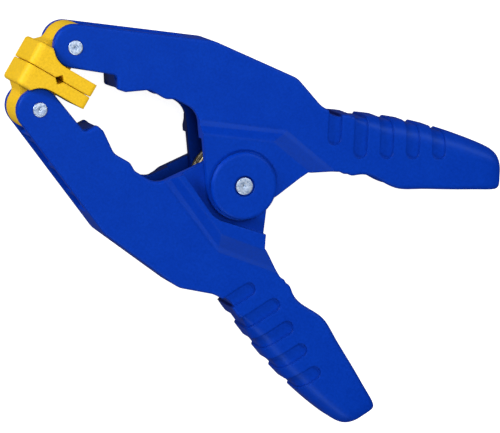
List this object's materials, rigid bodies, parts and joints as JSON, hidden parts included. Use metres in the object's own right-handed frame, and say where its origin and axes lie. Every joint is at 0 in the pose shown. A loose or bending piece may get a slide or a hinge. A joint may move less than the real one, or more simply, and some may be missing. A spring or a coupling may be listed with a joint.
{
  "type": "spring clamp",
  "caption": "Plastic spring clamp with two moulded arms on a pivot pin, swivelling jaw pads and a torsion spring that holds the jaws closed.",
  "frame": {"origin": "on the main pivot's axis, at the face of the lower hub disc that the clamp rests on when it lies on its side", "axes": "+Z along the main pivot's axis, +X along the line of symmetry from the pads to the handles, +Y towards the upper arm"},
  "size_m": [0.1679, 0.1082, 0.031],
  "materials": {
    "arm_resin": "satin moulded nylon",
    "pad_resin": "satin moulded nylon",
    "pin_steel": "zinc plated, cut ends",
    "spring_steel": "plated spring wire"
  },
  "bodies": {
    "upper_arm": {"upper_arm": "arm_resin", "pivot_pin": "pin_steel", "upper_pad_pin": "pin_steel", "torsion_spring": "spring_steel"},
    "lower_arm": {"lower_arm": "arm_resin", "lower_pad_pin": "pin_steel"},
    "upper_pad": {"upper_pad": "pad_resin"},
    "lower_pad": {"lower_pad": "pad_resin"}
  },
  "joints": [
    {"name": "main_pivot", "type": "hinge", "parent": "upper_arm", "child": "lower_arm", "pos_m": [0, 0, 0.0155], "axis": [0, 0, 1], "range_deg": [0, 40], "stiffness_Nm_per_rad": 2, "springref_deg": -57.3, "deforming": ["torsion_spring"]},
    {"name": "upper_pad_swivel", "type": "hinge", "parent": "upper_arm", "child": "upper_pad", "pos_m": [-0.0739, 0.012, 0.0155], "axis": [0, 0, 1], "range_deg": [0, 20]},
    {"name": "lower_pad_swivel", "type": "hinge", "parent": "lower_arm", "child": "lower_pad", "pos_m": [-0.0739, -0.012, 0.0155], "axis": [0, 0, 1], "range_deg": [-20, 0]}
  ],
  "couplings": [
    {"joint": "upper_pad_swivel", "follows": "main_pivot", "ratio": 0.5},
    {"joint": "lower_pad_swivel", "follows": "main_pivot", "ratio": -0.5}
  ]
}
